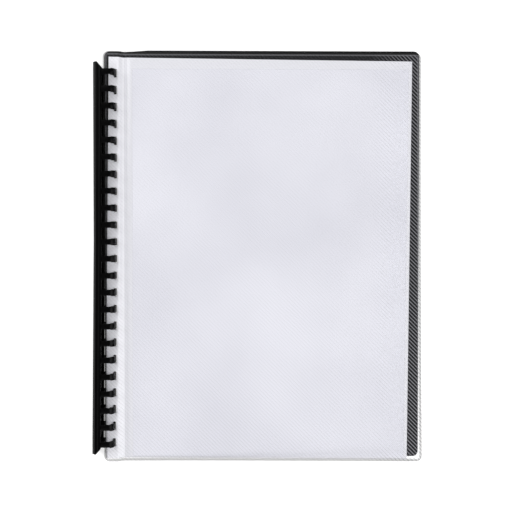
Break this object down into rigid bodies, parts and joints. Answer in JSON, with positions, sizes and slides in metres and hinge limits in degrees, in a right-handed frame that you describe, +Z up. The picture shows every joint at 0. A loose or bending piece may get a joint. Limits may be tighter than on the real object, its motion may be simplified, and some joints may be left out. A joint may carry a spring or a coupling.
{
  "type": "clear pocket display book",
  "caption": "Refillable A4 display book: black hinged ring spine, black back cover, clear top-loading pockets with white inserts, clear ribbed front cover.",
  "frame": {"origin": "under the middle of the closed book, on the surface it lies on", "axes": "+X from the spine to the free edge, +Y to the top of the page, +Z up through the front cover"},
  "size_m": [0.247, 0.3112, 0.016],
  "materials": {
    "black_spine": "satin moulded polypropylene",
    "black_sheet": "satin black polypropylene sheet",
    "clear_cover": "clear polypropylene sheet with diagonal ribs",
    "clear_film": "clear film",
    "white_paper": "white uncoated paper"
  },
  "bodies": {
    "binding": {"spine_lower_comb": "black_spine", "back_cover_strip": "black_sheet", "front_cover_strip": "clear_cover", "leaf_strip_01": "clear_film", "leaf_strip_02": "clear_film", "leaf_strip_03": "clear_film", "leaf_strip_04": "clear_film", "leaf_strip_05": "clear_film", "leaf_strip_06": "clear_film", "leaf_strip_07": "clear_film", "leaf_strip_08": "clear_film", "leaf_strip_09": "clear_film", "leaf_strip_10": "clear_film"},
    "upper_comb": {"spine_upper_comb": "black_spine"},
    "back_cover": {"back_cover_panel": "black_sheet"},
    "front_cover": {"front_cover_panel": "clear_cover"},
    "leaf_01": {"pocket_back_film_01": "clear_film", "pocket_seam_01": "clear_film", "pocket_front_film_01": "clear_film"},
    "leaf_02": {"pocket_back_film_02": "clear_film", "pocket_seam_02": "clear_film", "pocket_front_film_02": "clear_film"},
    "leaf_03": {"pocket_back_film_03": "clear_film", "pocket_seam_03": "clear_film", "pocket_front_film_03": "clear_film"},
    "leaf_04": {"pocket_back_film_04": "clear_film", "pocket_seam_04": "clear_film", "pocket_front_film_04": "clear_film"},
    "leaf_05": {"pocket_back_film_05": "clear_film", "pocket_seam_05": "clear_film", "pocket_front_film_05": "clear_film"},
    "leaf_06": {"pocket_back_film_06": "clear_film", "pocket_seam_06": "clear_film", "pocket_front_film_06": "clear_film"},
    "leaf_07": {"pocket_back_film_07": "clear_film", "pocket_seam_07": "clear_film", "pocket_front_film_07": "clear_film"},
    "leaf_08": {"pocket_back_film_08": "clear_film", "pocket_seam_08": "clear_film", "pocket_front_film_08": "clear_film"},
    "leaf_09": {"pocket_back_film_09": "clear_film", "pocket_seam_09": "clear_film", "pocket_front_film_09": "clear_film"},
    "leaf_10": {"pocket_back_film_10": "clear_film", "pocket_seam_10": "clear_film", "pocket_front_film_10": "clear_film"},
    "insert_01": {"insert_sheet_01": "white_paper"},
    "insert_02": {"insert_sheet_02": "white_paper"},
    "insert_03": {"insert_sheet_03": "white_paper"},
    "insert_04": {"insert_sheet_04": "white_paper"},
    "insert_05": {"insert_sheet_05": "white_paper"},
    "insert_06": {"insert_sheet_06": "white_paper"},
    "insert_07": {"insert_sheet_07": "white_paper"},
    "insert_08": {"insert_sheet_08": "white_paper"},
    "insert_09": {"insert_sheet_09": "white_paper"},
    "insert_10": {"insert_sheet_10": "white_paper"}
  },
  "joints": [
    {"name": "comb_open", "type": "hinge", "parent": "binding", "child": "upper_comb", "pos_m": [-0.1235, 0, 0.008], "axis": [0, -1, 0], "range_deg": [0, 90]},
    {"name": "front_cover_fold", "type": "hinge", "parent": "binding", "child": "front_cover", "pos_m": [-0.1015, 0, 0.0069], "axis": [0, -1, 0], "range_deg": [0, 130]},
    {"name": "back_cover_fold", "type": "hinge", "parent": "binding", "child": "back_cover", "pos_m": [-0.1015, 0, 0], "axis": [0, 1, 0], "range_deg": [0, 130]},
    {"name": "leaf_01_fold", "type": "hinge", "parent": "binding", "child": "leaf_01", "pos_m": [-0.1015, 0, 0.0069], "axis": [0, -1, 0], "range_deg": [0, 11.83]},
    {"name": "leaf_02_fold", "type": "hinge", "parent": "binding", "child": "leaf_02", "pos_m": [-0.1015, 0, 0.0069], "axis": [0, -1, 0], "range_deg": [0, 23.65]},
    {"name": "leaf_03_fold", "type": "hinge", "parent": "binding", "child": "leaf_03", "pos_m": [-0.1015, 0, 0.0069], "axis": [0, -1, 0], "range_deg": [0, 35.47]},
    {"name": "leaf_04_fold", "type": "hinge", "parent": "binding", "child": "leaf_04", "pos_m": [-0.1015, 0, 0.0069], "axis": [0, -1, 0], "range_deg": [0, 47.28]},
    {"name": "leaf_05_fold", "type": "hinge", "parent": "binding", "child": "leaf_05", "pos_m": [-0.1015, 0, 0.0069], "axis": [0, -1, 0], "range_deg": [0, 59.1]},
    {"name": "leaf_06_fold", "type": "hinge", "parent": "binding", "child": "leaf_06", "pos_m": [-0.1015, 0, 0.0069], "axis": [0, -1, 0], "range_deg": [0, 70.92]},
    {"name": "leaf_07_fold", "type": "hinge", "parent": "binding", "child": "leaf_07", "pos_m": [-0.1015, 0, 0.0069], "axis": [0, -1, 0], "range_deg": [0, 82.74]},
    {"name": "leaf_08_fold", "type": "hinge", "parent": "binding", "child": "leaf_08", "pos_m": [-0.1015, 0, 0.0069], "axis": [0, -1, 0], "range_deg": [0, 94.56]},
    {"name": "leaf_09_fold", "type": "hinge", "parent": "binding", "child": "leaf_09", "pos_m": [-0.1015, 0, 0.0069], "axis": [0, -1, 0], "range_deg": [0, 106.37]},
    {"name": "leaf_10_fold", "type": "hinge", "parent": "binding", "child": "leaf_10", "pos_m": [-0.1015, 0, 0.0069], "axis": [0, -1, 0], "range_deg": [0, 118.19]},
    {"name": "insert_01_slide", "type": "slide", "parent": "leaf_01", "child": "insert_01", "axis": [0.0105, 0.9999, 0], "range_m": [0, 0.28]},
    {"name": "insert_02_slide", "type": "slide", "parent": "leaf_02", "child": "insert_02", "axis": [0.0105, 0.9999, 0], "range_m": [0, 0.28]},
    {"name": "insert_03_slide", "type": "slide", "parent": "leaf_03", "child": "insert_03", "axis": [0.0105, 0.9999, 0], "range_m": [0, 0.28]},
    {"name": "insert_04_slide", "type": "slide", "parent": "leaf_04", "child": "insert_04", "axis": [0.0105, 0.9999, 0], "range_m": [0, 0.28]},
    {"name": "insert_05_slide", "type": "slide", "parent": "leaf_05", "child": "insert_05", "axis": [0.0105, 0.9999, 0], "range_m": [0, 0.28]},
    {"name": "insert_06_slide", "type": "slide", "parent": "leaf_06", "child": "insert_06", "axis": [0.0105, 0.9999, 0], "range_m": [0, 0.28]},
    {"name": "insert_07_slide", "type": "slide", "parent": "leaf_07", "child": "insert_07", "axis": [0.0105, 0.9999, 0], "range_m": [0, 0.28]},
    {"name": "insert_08_slide", "type": "slide", "parent": "leaf_08", "child": "insert_08", "axis": [0.0105, 0.9999, 0], "range_m": [0, 0.28]},
    {"name": "insert_09_slide", "type": "slide", "parent": "leaf_09", "child": "insert_09", "axis": [0.0105, 0.9999, 0], "range_m": [0, 0.28]},
    {"name": "insert_10_slide", "type": "slide", "parent": "leaf_10", "child": "insert_10", "axis": [0.0105, 0.9999, 0], "range_m": [0, 0.28]}
  ],
  "couplings": [
    {"joint": "leaf_01_fold", "follows": "front_cover_fold", "ratio": 0.090909},
    {"joint": "leaf_02_fold", "follows": "front_cover_fold", "ratio": 0.18182},
    {"joint": "leaf_03_fold", "follows": "front_cover_fold", "ratio": 0.27273},
    {"joint": "leaf_04_fold", "follows": "front_cover_fold", "ratio": 0.36364},
    {"joint": "leaf_05_fold", "follows": "front_cover_fold", "ratio": 0.45454},
    {"joint": "leaf_06_fold", "follows": "front_cover_fold", "ratio": 0.54546},
    {"joint": "leaf_07_fold", "follows": "front_cover_fold", "ratio": 0.63636},
    {"joint": "leaf_08_fold", "follows": "front_cover_fold", "ratio": 0.72727},
    {"joint": "leaf_09_fold", "follows": "front_cover_fold", "ratio": 0.81818},
    {"joint": "leaf_10_fold", "follows": "front_cover_fold", "ratio": 0.90909}
  ]
}
